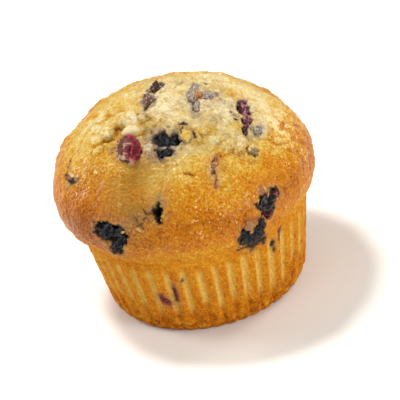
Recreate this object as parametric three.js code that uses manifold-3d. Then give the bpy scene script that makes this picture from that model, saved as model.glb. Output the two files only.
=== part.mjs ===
// A blueberry muffin, baked in a pleated case that has since been peeled off.
// Millimetres, +Z up, origin at the middle of the flat foot. The crumb is one solid: a fluted cup that
// leans outwards, and a crown that spills over it and has torn open on top. Each berry is a solid of its
// own, set in a socket of the crumb. A place on the crown is given by its bearing, in degrees from +X
// towards +Y, and its climb, which is 90 at the summit, 0 on the widest ring and -90 in the crease.
import * as THREE from "three";
import { mergeVertices } from "three/addons/utils/BufferGeometryUtils.js";
import Module from "manifold-3d";

const wasm = await Module();
wasm.setup();

// ---------------------------------------------------------------- driving dimensions

const FOOT_RADIUS = 26; // where the side would meet the table
const FOOT_FILLET = 2; // rounding of the lower edge
const CUP_SLOPE = 0.17; // how far the side leans out for each mm of height
const CREASE_HEIGHT = 25; // where the crown spills over the cup
const CROWN_RADIUS = 34.45; // mean radius of the crown at its widest
const CROWN_LEAN = 0.73; // the crown bulges this much further towards -X
const CROWN_OVAL = 0.24; // and is this much narrower along X than along Y
const RIM_HEIGHT = 33.4; // height of the widest ring of the crown
const RIM_TILT = 0.58; // that ring rises this much towards -X
const TOTAL_HEIGHT = 54.2;
const SUMMIT = { x: -0.9, y: 4 }; // where the top of the crown stands
const BULGE_POWER = 1.7; // how the crown swells out of the crease
const SHOULDER_POWERS = { reach: 0.95, rise: 1.1 }; // how the crown rounds over

const FLUTES = 43; // pleats of the case
const FLUTE_DEPTH = 0.75;
const FLUTE_HALF_WIDTH = 0.17; // of the pitch, from the middle of a groove to its shoulder
const FLUTE_PHASE = 4.55; // bearing of the first groove, degrees
const FLUTE_DRIFT = { amount: 1.5, turns: 4, from: 257 }; // uneven pleats: degrees, waves round the cup
const FLUTE_FADE = 3; // the grooves run out over this height below the crease
const FLUTE_FULL_FROM = 5; // height from which the grooves have their full depth
const FOOT_FLUTE_SHARE = 0.5; // how much of a groove's depth is left at the foot
const NECK = { below: 1, fluteShare: 0.25 }; // last ring of the cup, just under the crease

const CROWN_SPACING = 2.2; // between the points of the crown
const UNDERSIDE_CLIMBS = [-90, -70, -50, -32, -16]; // rings below the widest one
const CLIMB_STEPS = { low: 4.4, high: 3.6, highFrom: 30, last: 86 }; // and those above it, degrees
const LEAST_AROUND = 9; // points of the ring next to the summit
const SOCKET_GAP = 0.35; // between a berry and its socket
const SOCKET_HEADROOM = 2.5; // a socket is this much taller than its berry, to cut through the crust

const DEGREE = Math.PI / 180;

// ---------------------------------------------------------------- small mathematics

const clamp = (v, low, high) => Math.min(high, Math.max(low, v));

function smoothStep(from, to, v) {
  const t = clamp((v - from) / (to - from), 0, 1);
  return t * t * (3 - 2 * t);
}

function hash(i, j, k) {
  const s = Math.sin(i * 127.1 + j * 311.7 + k * 74.7) * 43758.5453;
  return s - Math.floor(s);
}

// Smooth value noise from -1 to 1, one lump to a unit.
function lumps(x, y, z) {
  const [i, j, k] = [x, y, z].map(Math.floor);
  const [u, v, w] = [x - i, y - j, z - k].map((t) => t * t * (3 - 2 * t));
  const mix = (a, b, t) => a + (b - a) * t;
  const edge = (dj, dk) => mix(hash(i, j + dj, k + dk), hash(i + 1, j + dj, k + dk), u);
  const face = (dk) => mix(edge(0, dk), edge(1, dk), v);
  return 2 * mix(face(0), face(1), w) - 1;
}

// Noise layers, each with its size in mm and its height.
const roughness = (p, layers) =>
  layers.reduce((sum, l) => sum + l.height * lumps(p.x / l.size, p.y / l.size, p.z / l.size), 0);

// ---------------------------------------------------------------- outline of the muffin

const cupRadius = (z) => FOOT_RADIUS + CUP_SLOPE * z;

// A point of the smooth crown.
function crownPoint(bearing, climb) {
  const t = bearing * DEGREE;
  const radius = CROWN_RADIUS - CROWN_LEAN * Math.cos(t) - CROWN_OVAL * Math.cos(2 * t);
  const rim = RIM_HEIGHT - RIM_TILT * Math.cos(t);
  if (climb < 0) {
    const swell = (90 + climb) * DEGREE;
    const crease = cupRadius(CREASE_HEIGHT);
    const r = crease + (radius - crease) * Math.sin(swell) ** BULGE_POWER;
    const z = CREASE_HEIGHT + (rim - CREASE_HEIGHT) * (1 - Math.cos(swell));
    return new THREE.Vector3(r * Math.cos(t), r * Math.sin(t), z);
  }
  const reach = Math.cos(climb * DEGREE) ** SHOULDER_POWERS.reach;
  const rise = Math.sin(climb * DEGREE) ** SHOULDER_POWERS.rise;
  return new THREE.Vector3(
    radius * reach * Math.cos(t) + SUMMIT.x * (1 - reach),
    radius * reach * Math.sin(t) + SUMMIT.y * (1 - reach),
    rim + (TOTAL_HEIGHT - rim) * rise,
  );
}

// ---------------------------------------------------------------- relief of the crown

// The crust has torn open over a rounded patch, and craggy crumb has risen through it.
const TEAR = { x: 7, y: -3.2, halfX: 15.2, halfY: 16.6, squareness: 2.6, edge: [0.92, 1.06], lift: 0.3 };
const TEAR_WOBBLE = { share: 0.13, size: 6, layer: 3.3 }; // how unevenly its edge has torn
const TEAR_CRAGS = [
  { size: 5.2, height: 0.9 },
  { size: 3, height: 0.5 },
];
const CRUST_WAVES = [
  { size: 9, height: 0.4 },
  { size: 4.5, height: 0.16 },
];

// A smooth furrow leads from the tear down the front, steep on its right, where a lobe of crust begins.
const FURROW = { x: -8.5, y: -18, toX: -13, toY: -31, right: [4.2, 5.6], left: [2.5, 8], depth: 1.1 };
const FURROW_ENDS = { start: [-4, 2], end: [-3, 3] }; // where it deepens and runs out, along its length

const CREASE_CLEARANCE = 4; // the relief grows over this height above the crease
const TOP_RELIEF = [RIM_HEIGHT - 5, RIM_HEIGHT + 3]; // swellings and tear grow over these heights

// Single swellings and hollows: x and y in plan, spread and lift in mm.
const SWELLINGS = [
  { x: 3, y: -29, spread: 9, lift: 0.6 }, // front lobe
  { x: -24, y: -15, spread: 8, lift: 0.5 }, // left lobe
  { x: -17.5, y: -3.2, spread: 2.2, lift: 1.0 }, // knobs beside the tear
  { x: -14, y: -3, spread: 2.6, lift: 1.4 },
  { x: -10.5, y: -2.8, spread: 2.4, lift: 1.5 },
  { x: -20.5, y: -6, spread: 2.2, lift: 0.7 },
  { x: -11.2, y: -8.2, spread: 2.4, lift: 1.3 }, // hood over the crimson berry
  { x: -18, y: 3, spread: 3.2, lift: -0.9 }, // hollow behind the knobs
  { x: -14, y: 4.8, spread: 3, lift: -0.9 },
  { x: -0.8, y: 0.5, spread: 4.2, lift: 0.9 }, // masses of crumb in the tear
  { x: 13, y: 1, spread: 3.6, lift: 0.8 },
  { x: 11, y: -9, spread: 4.2, lift: 0.6 },
  { x: 4.5, y: -5, spread: 2.6, lift: -0.7 },
  { x: 1.6, y: -13.6, spread: 1.9, lift: 1.3 }, // chunk beside the burst berry
  { x: 11.7, y: -18, spread: 2.2, lift: 1.0 }, // flaps along the lower edge of the tear
  { x: 15.6, y: -18.6, spread: 2, lift: 0.8 },
  { x: 21, y: -14, spread: 2.2, lift: 0.8 },
  { x: 24.4, y: -14.7, spread: 2.2, lift: 0.7 },
  { x: 25, y: 13, spread: 7, lift: -0.6 }, // uneven shoulder along the far side of the summit
  { x: 15, y: 18, spread: 7, lift: 0.3 },
  { x: 5, y: 22, spread: 6, lift: -0.3 },
  { x: -22, y: 15, spread: 6, lift: -0.5 },
  { x: 5, y: 30, spread: 4.5, lift: 0.9 }, // lumps and a hollow low on the back
  { x: -17, y: 28, spread: 5, lift: 0.9 },
  { x: 18, y: 28, spread: 4.5, lift: -0.7 },
];

function tornShare(p) {
  const power = TEAR.squareness;
  const across = Math.abs((p.x - TEAR.x) / TEAR.halfX) ** power;
  const along = Math.abs((p.y - TEAR.y) / TEAR.halfY) ** power;
  const wobble = TEAR_WOBBLE.share * lumps(p.x / TEAR_WOBBLE.size, p.y / TEAR_WOBBLE.size, TEAR_WOBBLE.layer);
  return 1 - smoothStep(...TEAR.edge, (across + along) ** (1 / power) + wobble);
}

function furrowShare(p) {
  const length = Math.hypot(FURROW.toX - FURROW.x, FURROW.toY - FURROW.y);
  const [ux, uy] = [(FURROW.toX - FURROW.x) / length, (FURROW.toY - FURROW.y) / length];
  const [dx, dy] = [p.x - FURROW.x, p.y - FURROW.y];
  const along = dx * ux + dy * uy;
  const aside = dy * ux - dx * uy; // positive to the right, seen from the front
  const edge = aside > 0 ? FURROW.right : FURROW.left;
  const ends = smoothStep(...FURROW_ENDS.start, along) * (1 - smoothStep(...FURROW_ENDS.end, along - length));
  return ends * (1 - smoothStep(...edge, Math.abs(aside)));
}

function crownRelief(p) {
  const above = smoothStep(...TOP_RELIEF, p.z);
  const torn = above * tornShare(p);
  const crags = TEAR.lift + roughness(p, TEAR_CRAGS);
  const swelling = SWELLINGS.reduce((sum, s) => {
    const away = (p.x - s.x) ** 2 + (p.y - s.y) ** 2;
    return sum + s.lift * Math.exp(-away / s.spread ** 2);
  }, -FURROW.depth * furrowShare(p));
  const clear = smoothStep(0, CREASE_CLEARANCE, p.z - CREASE_HEIGHT);
  return clear * (roughness(p, CRUST_WAVES) * (1 - torn) + crags * torn + swelling * above);
}

// Relief stands out from a point low inside the crown, so the crust moves outwards and upwards.
const HEART = new THREE.Vector3(0, 0, 22);

function crustPoint(bearing, climb) {
  const p = crownPoint(bearing, climb);
  const out = p.clone().sub(HEART).normalize();
  return p.addScaledVector(out, crownRelief(p));
}

// ---------------------------------------------------------------- crumb

// The bearing of each groove, in degrees.
function grooveBearings() {
  const pitch = 360 / FLUTES;
  return Array.from({ length: FLUTES }, (_, i) => {
    const even = FLUTE_PHASE + pitch * i;
    return even + FLUTE_DRIFT.amount * Math.cos(FLUTE_DRIFT.turns * (even - FLUTE_DRIFT.from) * DEGREE);
  });
}

// One ring of the cup: a groove and its two shoulders for each flute, with flat ridges between them.
function cupRing(radius, z, depth) {
  const grooves = grooveBearings();
  const half = (FLUTE_HALF_WIDTH * 360) / FLUTES;
  return grooves.flatMap((groove, i) => {
    const next = i + 1 < FLUTES ? grooves[i + 1] : grooves[0] + 360;
    const stations = [
      [groove, radius - depth],
      [groove + half, radius],
      [next - half, radius],
    ];
    return stations.map(([bearing, r]) => {
      const t = bearing * DEGREE;
      return { bearing, point: new THREE.Vector3(r * Math.cos(t), r * Math.sin(t), z) };
    });
  });
}

function cupRings() {
  const footDepth = FLUTE_DEPTH * FOOT_FLUTE_SHARE;
  const fillet = [0, 45, 90].map((turn) => {
    const r = cupRadius(0) - FOOT_FILLET * (1 - Math.sin(turn * DEGREE));
    return cupRing(r, FOOT_FILLET * (1 - Math.cos(turn * DEGREE)), footDepth);
  });
  const fluteTop = CREASE_HEIGHT - FLUTE_FADE;
  const side = [FLUTE_FULL_FROM, fluteTop].map((z) => cupRing(cupRadius(z), z, FLUTE_DEPTH));
  const neckHeight = CREASE_HEIGHT - NECK.below;
  const neck = cupRing(cupRadius(neckHeight), neckHeight, FLUTE_DEPTH * NECK.fluteShare);
  return [...fillet, ...side, neck];
}

// Rings of the crown, with fewer points as they close in on the summit.
function crownRings() {
  const { low, high, highFrom, last } = CLIMB_STEPS;
  const climbs = [...UNDERSIDE_CLIMBS];
  for (let climb = 0; climb < last; climb += climb < highFrom ? low : high) climbs.push(climb);
  return climbs.map((climb) => {
    const girth = 2 * Math.PI * CROWN_RADIUS * Math.cos(Math.max(climb, 0) * DEGREE);
    const count = Math.max(LEAST_AROUND, Math.round(girth / CROWN_SPACING));
    return Array.from({ length: count }, (_, i) => {
      const bearing = (360 / count) * i;
      return { bearing, point: crustPoint(bearing, climb) };
    });
  });
}

// Joins two rings by a band of triangles, always stepping on the ring that lags behind.
function band(lower, upper, lowStart, highStart) {
  const bearingAt = (ring, i) => ring[i % ring.length].bearing + (i >= ring.length ? 360 : 0);
  const [n, m] = [lower.length, upper.length];
  const faces = [];
  let [i, j] = [0, 0];
  while (i < n || j < m) {
    const a = lowStart + (i % n);
    const b = highStart + (j % m);
    if (j >= m || (i < n && bearingAt(lower, i + 1) <= bearingAt(upper, j + 1))) {
      i += 1;
      faces.push(a, lowStart + (i % n), b);
    } else {
      j += 1;
      faces.push(a, highStart + (j % m), b);
    }
  }
  return faces;
}

function muffinGeometry() {
  const rings = [...cupRings(), ...crownRings()];
  const points = [];
  const starts = rings.map((ring) => points.push(...ring.map((s) => s.point)) - ring.length);
  const faces = rings.slice(1).flatMap((ring, k) => band(rings[k], ring, starts[k], starts[k + 1]));
  const foot = points.push(new THREE.Vector3(0, 0, 0)) - 1;
  const summit = points.push(crustPoint(0, 90)) - 1;
  const [first, last] = [rings[0].length, rings.at(-1).length];
  for (let i = 0; i < first; i++) faces.push(foot, (i + 1) % first, i);
  for (let i = 0; i < last; i++) {
    faces.push(starts.at(-1) + i, starts.at(-1) + ((i + 1) % last), summit);
  }
  return new THREE.BufferGeometry().setFromPoints(points).setIndex(faces);
}

// ---------------------------------------------------------------- berries

// Burst and shrunken berries are made of lobes: bearing, climb, length and width in mm, and the turn of
// the long axis from level. dome and root are how far a berry reaches above and below its own middle,
// and lift is how far that middle stands above the crust.
const BERRIES = {
  berry_crimson: { dome: 1.9, root: 3.4, lift: 0.2, lobes: [[231, 57.5, 9.2, 6.6, -46]] },
  berry_burst: {
    dome: 0.6,
    root: 3,
    lift: -0.4,
    lobes: [
      [257.5, 62.5, 6, 3.8, -66],
      [267, 62, 4, 2.8, 14],
      [259, 57, 4.4, 2.6, -7],
    ],
  },
  berry_summit: { dome: 0.7, root: 2.2, lift: 0.1, lobes: [[111.5, 81.5, 5.4, 2.8, 51]] },
  berry_summit_low: { dome: 0.6, root: 2, lift: 0.1, lobes: [[186.5, 83, 5.4, 2.4, -24]] },
  berry_dusty: {
    dome: 1,
    root: 2.6,
    lift: 0.1,
    lobes: [
      [336.5, 78.5, 7, 3, 9],
      [4, 78, 4.8, 2.2, -14],
      [341, 73, 6.4, 2.6, -87],
      [318, 75, 5, 1.8, 34],
    ],
  },
  berry_plum: {
    dome: 0.9,
    root: 2.6,
    lift: 0.1,
    lobes: [
      [341, 56.5, 7.2, 3.2, 14],
      [333.5, 53.5, 4.6, 2, 13],
      [324.5, 52, 4.6, 2.2, 19],
      [318.5, 50, 2.8, 1.2, 27],
    ],
  },
  berry_grey: { dome: 0.9, root: 2, lift: 0.1, lobes: [[324, 45.5, 3.6, 2.2, 25]] },
  berry_green: { dome: 0.8, root: 2, lift: 0, lobes: [[310.5, 39.5, 3, 2.4, -74]] },
  berry_left_slit: { dome: 0.6, root: 2, lift: 0, lobes: [[200.5, 31.5, 5.4, 2.2, 8]] },
  berry_pit: {
    dome: 0.4,
    root: 2.2,
    lift: -1.2,
    lobes: [
      [254, 24, 4.4, 3.1, 80],
      [252.5, 26, 2.4, 1.6, -19],
    ],
  },
  berry_left: {
    dome: 0.8,
    root: 3,
    lift: -0.3,
    lobes: [
      [228.5, 9.5, 7.4, 4.4, -11],
      [234, 7.5, 5.8, 4.8, -1],
      [233, -7, 5.4, 3.2, 74],
    ],
  },
  berry_right: {
    dome: 0.8,
    root: 3,
    lift: -0.1,
    lobes: [
      [301.5, 10.5, 5.4, 3.6, 1],
      [306.5, 12.5, 3.8, 2.4, 19],
      [300.5, 3, 3.8, 2, -64],
    ],
  },
  berry_right_low: {
    dome: 0.8,
    root: 3,
    lift: -0.1,
    lobes: [
      [292.5, -38, 6.4, 5.2, -10],
      [288.5, -18, 5.6, 2, 79],
      [295.5, -15, 5, 2.2, 61],
    ],
  },
  berry_slit: { dome: 0.4, root: 2.2, lift: -0.2, lobes: [[286.5, 42.5, 8, 1.8, 58]] },
  berry_back_high: { dome: 0.9, root: 2.8, lift: 0, lobes: [[84, 45, 5.6, 4, 25], [90, 42, 3, 2.4, -30]] },
  berry_back_upper: { dome: 1.1, root: 3, lift: -0.2, lobes: [[134, 34, 7, 5, -35]] },
  berry_back_middle: { dome: 0.7, root: 3, lift: -0.3, lobes: [[56, 34, 7.4, 5, 10], [61, 29, 4.4, 3, 60]] },
  berry_back_left: { dome: 0.8, root: 3, lift: -0.2, lobes: [[150, 10, 6.6, 4.6, 40], [154, 3, 4, 3, -50]] },
  berry_back_right: { dome: 0.8, root: 3, lift: -0.2, lobes: [[24, 6, 7, 4.4, -30], [19, 11, 3.6, 2.6, 20]] },
  berry_back_low: { dome: 0.6, root: 2.6, lift: -0.3, lobes: [[98, 16, 5.4, 3.4, -65]] },
};
const WRINKLE = { size: 1.4, share: 0.12 }; // the skin has shrunk in the oven
const LOBE_SIDES = { full: 10, narrow: 8, narrowBelow: 2.6, rowShare: 0.55 }; // sides by width in mm

// Places a lobe's long axis, short axis and the way out of the crust.
function lobeFrame([bearing, climb, , , turn], lift) {
  const east = crownPoint(bearing + 0.5, climb).sub(crownPoint(bearing - 0.5, climb)).normalize();
  const uphill = crownPoint(bearing, climb + 0.5).sub(crownPoint(bearing, climb - 0.5)).normalize();
  const out = new THREE.Vector3().crossVectors(east, uphill).normalize();
  const up = new THREE.Vector3().crossVectors(out, east);
  const long = east.multiplyScalar(Math.cos(turn * DEGREE)).addScaledVector(up, Math.sin(turn * DEGREE));
  const wide = new THREE.Vector3().crossVectors(out, long);
  const middle = crustPoint(bearing, climb).addScaledVector(out, lift);
  return new THREE.Matrix4().makeBasis(long, wide, out).setPosition(middle);
}

// A ball stretched to the lobe's size: the berry itself, wrinkled, or the smooth socket round it.
function lobeGeometry(lobe, berry, socket) {
  const [bearing, , length, width] = lobe;
  const [grow, headroom] = socket ? [SOCKET_GAP, SOCKET_HEADROOM] : [0, 0];
  const around = width < LOBE_SIDES.narrowBelow ? LOBE_SIDES.narrow : LOBE_SIDES.full;
  const ball = new THREE.SphereGeometry(1, around, Math.round(around * LOBE_SIDES.rowShare));
  const at = ball.getAttribute("position");
  for (let i = 0; i < at.count; i++) {
    const [halfLength, halfWidth, z] = [length / 2, width / 2, at.getZ(i)];
    const [x, y] = [(at.getX(i) * halfLength) / WRINKLE.size, (at.getY(i) * halfWidth) / WRINKLE.size];
    const fold = 0.5 + 0.5 * lumps(x + bearing, y, z);
    const shrink = socket ? 1 : 1 - WRINKLE.share * fold;
    const tall = z > 0 ? berry.dome + headroom : berry.root;
    at.setXYZ(
      i,
      at.getX(i) * (halfLength + grow) * shrink,
      at.getY(i) * (halfWidth + grow) * shrink,
      z * (tall + grow) * shrink,
    );
  }
  return ball.applyMatrix4(lobeFrame(lobe, berry.lift));
}

// ---------------------------------------------------------------- solids

function solidOf(geometry) {
  const bare = geometry.clone();
  bare.deleteAttribute("normal");
  bare.deleteAttribute("uv");
  const merged = mergeVertices(bare, 1e-4);
  return new wasm.Manifold(
    new wasm.Mesh({
      numProp: 3,
      vertProperties: new Float32Array(merged.getAttribute("position").array),
      triVerts: new Uint32Array(merged.index.array),
    }),
  );
}

function geometryOf(solid) {
  const mesh = solid.getMesh();
  return new THREE.BufferGeometry()
    .setAttribute("position", new THREE.BufferAttribute(mesh.vertProperties, 3))
    .setIndex(new THREE.BufferAttribute(mesh.triVerts, 1));
}

const lobesOf = (berry, socket) => berry.lobes.map((l) => solidOf(lobeGeometry(l, berry, socket)));

// The crumb, with a socket for each berry. Scraps that the sockets cut off are dropped.
function crumbGeometry() {
  const sockets = Object.values(BERRIES).flatMap((berry) => lobesOf(berry, true));
  const crumb = sockets.reduce((rest, socket) => rest.subtract(socket), solidOf(muffinGeometry()));
  const [largest] = crumb.decompose().sort((a, b) => b.volume() - a.volume());
  return geometryOf(largest);
}

const berryGeometry = (berry) => geometryOf(lobesOf(berry, false).reduce((a, b) => a.add(b)));

// ---------------------------------------------------------------- muffin

const FINISHES = {
  crust: { color: 0xd9953a, roughness: 0.5, metalness: 0 },
  berry_skin: { color: 0x2b2a3d, roughness: 0.45, metalness: 0 },
  berry_flesh: { color: 0x8c2438, roughness: 0.3, metalness: 0 },
  berry_bloom: { color: 0x8d8088, roughness: 0.7, metalness: 0 },
};
const PALE_BERRIES = ["berry_dusty", "berry_grey", "berry_green", "berry_left_slit", "berry_summit_low"];
const RED_BERRIES = ["berry_crimson", "berry_plum", "berry_slit"];

function finishOf(name) {
  if (PALE_BERRIES.includes(name)) return FINISHES.berry_bloom;
  return RED_BERRIES.includes(name) ? FINISHES.berry_flesh : FINISHES.berry_skin;
}

function piece(name, geometry, finish) {
  const mesh = new THREE.Mesh(geometry, new THREE.MeshStandardMaterial(finish));
  mesh.name = name;
  return mesh;
}

const muffin = new THREE.Group();
muffin.add(piece("muffin", crumbGeometry(), FINISHES.crust));
for (const [name, berry] of Object.entries(BERRIES)) {
  muffin.add(piece(name, berryGeometry(berry), finishOf(name)));
}

export default muffin;
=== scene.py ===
import itertools
import math

import bmesh
import bpy
import numpy as np
from mathutils import Matrix, Vector
from mathutils import noise as point_noise
from mathutils.bvhtree import BVHTree


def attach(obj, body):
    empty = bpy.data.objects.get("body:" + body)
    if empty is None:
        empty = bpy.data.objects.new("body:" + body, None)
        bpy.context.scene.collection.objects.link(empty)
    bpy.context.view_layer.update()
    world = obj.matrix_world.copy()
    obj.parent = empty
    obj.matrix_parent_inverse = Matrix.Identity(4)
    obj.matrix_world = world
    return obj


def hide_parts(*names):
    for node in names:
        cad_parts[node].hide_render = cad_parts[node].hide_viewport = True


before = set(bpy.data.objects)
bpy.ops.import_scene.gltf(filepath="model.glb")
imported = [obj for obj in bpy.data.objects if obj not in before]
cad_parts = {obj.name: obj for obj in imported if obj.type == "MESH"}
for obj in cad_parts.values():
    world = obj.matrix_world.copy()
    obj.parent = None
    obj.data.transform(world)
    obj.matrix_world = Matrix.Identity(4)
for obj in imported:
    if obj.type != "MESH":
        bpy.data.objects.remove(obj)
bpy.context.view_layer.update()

# ------------------------ crumb: outline
# The muffin is one piece of butter cake batter, baked in a pleated case that has been peeled off. It has
# risen over the edge of the case and torn open on top, round the berries that were stirred in.

# Lengths are in mm and angles in degrees. A place on the crown is given by its bearing from +X towards +Y
# and its climb, which is 90 at the summit, 0 on the widest ring and -90 in the crease below it.

MM = 0.001
DEGREE = math.pi / 180

FOOT_RADIUS, FOOT_FILLET, CUP_SLOPE = 26, 2, 0.17
CREASE_HEIGHT = 25
CROWN_RADIUS, CROWN_LEAN, CROWN_OVAL = 34.45, 0.73, 0.24
RIM_HEIGHT, RIM_TILT, TOTAL_HEIGHT = 33.4, 0.58, 54.2
SUMMIT = (-0.9, 4)
BULGE_POWER, REACH_POWER, RISE_POWER = 1.7, 0.95, 1.1
HEART = np.array([0, 0, 22])  # the crown swells away from here
TOP_FADE = (RIM_HEIGHT - 5, RIM_HEIGHT + 3)  # heights over which the relief of the top sets in


def smooth_step(low, high, value):
    t = np.clip((value - low) / (high - low), 0, 1)
    return t * t * (3 - 2 * t)


def bell(value, middle, width):
    """1 where a value is at its middle, fading to 0 on both sides."""
    return np.exp(-(((value - middle) / width) ** 2))


def hashed(i, j, k):
    s = np.sin(i * 127.1 + j * 311.7 + k * 74.7) * 43758.5453
    return s - np.floor(s)


def lumps(at):
    """Smooth noise from -1 to 1, one lump to a unit."""
    cell = np.floor(at)
    u, v, w = ((at - cell) ** 2 * (3 - 2 * (at - cell))).T
    i, j, k = cell.T

    def edge(dj, dk):
        near, far = hashed(i, j + dj, k + dk), hashed(i + 1, j + dj, k + dk)
        return near + (far - near) * u

    def face(dk):
        return edge(0, dk) + (edge(1, dk) - edge(0, dk)) * v

    return 2 * (face(0) + (face(1) - face(0)) * w) - 1


def roughness(at, *layers):
    """Layers of lumps, each with its size and height in mm."""
    return sum(height * lumps(at / size) for size, height in layers)


def fractal(at, size, octaves=3):
    """Soft uneven noise about 0, with finer octaves on it."""
    return np.array([point_noise.fractal(p, 0.9, 2.1, octaves) for p in (at / size).tolist()])


def clods(at, size):
    """Rounded clods, 1 on top and 0 in the creases between them."""
    nearest = np.array([point_noise.voronoi(p)[0][:2] for p in (at / size).tolist()])
    dome = np.sqrt(np.clip(1 - (nearest[:, 0] / 0.85) ** 2, 0, 1))
    return dome * smooth_step(0, 0.25, nearest[:, 1] - nearest[:, 0])


def crown_point(bearing, climb):
    """The smooth crown at arrays of bearings and climbs."""
    bearing, climb = np.broadcast_arrays(np.asarray(bearing, float), np.asarray(climb, float))
    cos, sin = np.cos(bearing * DEGREE), np.sin(bearing * DEGREE)
    radius = CROWN_RADIUS - CROWN_LEAN * cos - CROWN_OVAL * np.cos(2 * bearing * DEGREE)
    rim = RIM_HEIGHT - RIM_TILT * cos
    swell = np.clip(90 + climb, 0, 90) * DEGREE
    crease = FOOT_RADIUS + CUP_SLOPE * CREASE_HEIGHT
    under = crease + (radius - crease) * np.sin(swell) ** BULGE_POWER
    low = CREASE_HEIGHT + (rim - CREASE_HEIGHT) * (1 - np.cos(swell))
    over = np.clip(climb, 0, 90) * DEGREE
    reach, rise = np.cos(over) ** REACH_POWER, np.sin(over) ** RISE_POWER
    top = [
        radius * reach * cos + SUMMIT[0] * (1 - reach),
        radius * reach * sin + SUMMIT[1] * (1 - reach),
        rim + (TOTAL_HEIGHT - rim) * rise,
    ]
    return np.where(climb < 0, [under * cos, under * sin, low], top).T


# The crust has torn open over a rounded patch, where craggy crumb shows.
TEAR = {"x": 7, "y": -3.2, "half_x": 15.2, "half_y": 16.6, "squareness": 2.6, "lift": 0.3}
TEAR_CRAGS = [(5.2, 0.9), (3, 0.5)]
CRUST_WAVES = [(9, 0.4), (4.5, 0.16)]

# A furrow leads from the tear down the front, steep on its right, where a lobe of crust begins.
FURROW = {"from": (-8.5, -18), "to": (-13, -31), "right": (4.2, 5.6), "left": (2.5, 8), "depth": 1.1}

SWELLINGS = [  # x and y in plan, spread and lift
    (3, -29, 9, 0.6),  # front lobe
    (-24, -15, 8, 0.5),  # left lobe
    (-17.5, -3.2, 2.2, 1), (-14, -3, 2.6, 1.4), (-10.5, -2.8, 2.4, 1.5),  # knobs beside the tear
    (-20.5, -6, 2.2, 0.7),
    (-11.2, -8.2, 2.4, 1.3),  # hood over the red berry
    (-18, 3, 3.2, -0.9), (-14, 4.8, 3, -0.9),  # hollow behind the knobs
    (-0.8, 0.5, 4.2, 0.9), (13, 1, 3.6, 0.8), (11, -9, 4.2, 0.6),  # masses of crumb in the tear
    (4.5, -5, 2.6, -0.7),
    (1.6, -13.6, 1.9, 1.3),  # chunk beside the burst berry
    (11.7, -18, 2.2, 1), (15.6, -18.6, 2, 0.8),  # flaps along the lower edge of the tear
    (21, -14, 2.2, 0.8), (24.4, -14.7, 2.2, 0.7),
    (25, 13, 7, -0.6), (15, 18, 7, 0.3),  # uneven shoulder along the far side of the summit
    (5, 22, 6, -0.3), (-22, 15, 6, -0.5),
    (5, 30, 4.5, 0.9), (-17, 28, 5, 0.9), (18, 28, 4.5, -0.7),  # lumps and a hollow low on the back
]


def tear_edge(at):
    """Below 1 inside the tear and above 1 outside it, with a wavering edge."""
    power = TEAR["squareness"]
    across = np.abs((at[:, 0] - TEAR["x"]) / TEAR["half_x"]) ** power
    along = np.abs((at[:, 1] - TEAR["y"]) / TEAR["half_y"]) ** power
    layer = np.stack([at[:, 0] / 6, at[:, 1] / 6, np.full(len(at), 3.3)], 1)
    return (across + along) ** (1 / power) + 0.13 * lumps(layer)


def furrow_share(at):
    start, end = np.array(FURROW["from"]), np.array(FURROW["to"])
    length = np.linalg.norm(end - start)
    ux, uy = (end - start) / length
    dx, dy = (at[:, :2] - start).T
    wander = roughness(at, (5, 0.9), (2.3, 0.5))
    along, aside = dx * ux + dy * uy, dy * ux - dx * uy + wander
    right, left = (smooth_step(*FURROW[side], np.abs(aside)) for side in ("right", "left"))
    ends = smooth_step(-4, 2, along) * (1 - smooth_step(-3, 3, along - length))
    return ends * (1 - np.where(aside > 0, right, left))


def crown_relief(at):
    above = smooth_step(*TOP_FADE, at[:, 2])
    torn = above * (1 - smooth_step(0.92, 1.06, tear_edge(at)))
    swelling = -FURROW["depth"] * furrow_share(at)
    for x, y, spread, lift in SWELLINGS:
        away = (at[:, 0] - x) ** 2 + (at[:, 1] - y) ** 2
        swelling += lift * np.exp(-away / spread**2)
    crags = TEAR["lift"] + roughness(at, *TEAR_CRAGS)
    clear = smooth_step(0, 4, at[:, 2] - CREASE_HEIGHT)
    return clear * (roughness(at, *CRUST_WAVES) * (1 - torn) + crags * torn + swelling * above)


def crust_point(bearing, climb):
    """The crown with its main relief, as the frame's node has it."""
    at = np.atleast_2d(crown_point(bearing, climb))
    out = at - HEART
    out /= np.linalg.norm(out, axis=1, keepdims=True)
    return at + out * crown_relief(at)[:, None]


# ------------------------ crumb: flutes
# The pleats of the case have pressed grooves into the side. They stayed pale, while the ridges lay against
# the hot tin and are brown. They fade out near the foot and under the crown.

FLUTES = 43
FLUTE_DEPTH = 0.75
FLUTE_PHASE, FLUTE_DRIFT = 4.55, 1.5
PITCH = 360 / FLUTES

flute_even = FLUTE_PHASE + PITCH * np.arange(FLUTES)
groove_bearings = flute_even + FLUTE_DRIFT * np.cos(4 * (flute_even - 257) * DEGREE)


def nearest_groove(bearing):
    """The number of the groove nearest to each bearing, and how far away it is, in pitches."""
    around = np.concatenate([groove_bearings - 360, groove_bearings, groove_bearings + 360])
    nearest = np.abs(bearing[:, None] - around).argmin(1)
    return nearest % FLUTES, np.abs(bearing - around[nearest]) / PITCH


def groove_share(bearing, height):
    """1 in the middle of a groove, 0 on the ridges; each groove has a width and length of its own."""
    number, away = nearest_groove(bearing)
    own = [hashed(number, k, 0) for k in (1, 2, 3)]
    half_width = 0.25 + 0.06 * (own[0] - 0.5)
    top = CREASE_HEIGHT - 1.2 - 1.6 * own[1]
    bottom = 6 + 4.6 * own[2]
    ends = smooth_step(0, 3, top - height) * smooth_step(-2.6, 2.2, height - bottom)
    return (1 - smooth_step(0.35, 1.25, away / half_width)) * ends


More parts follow.
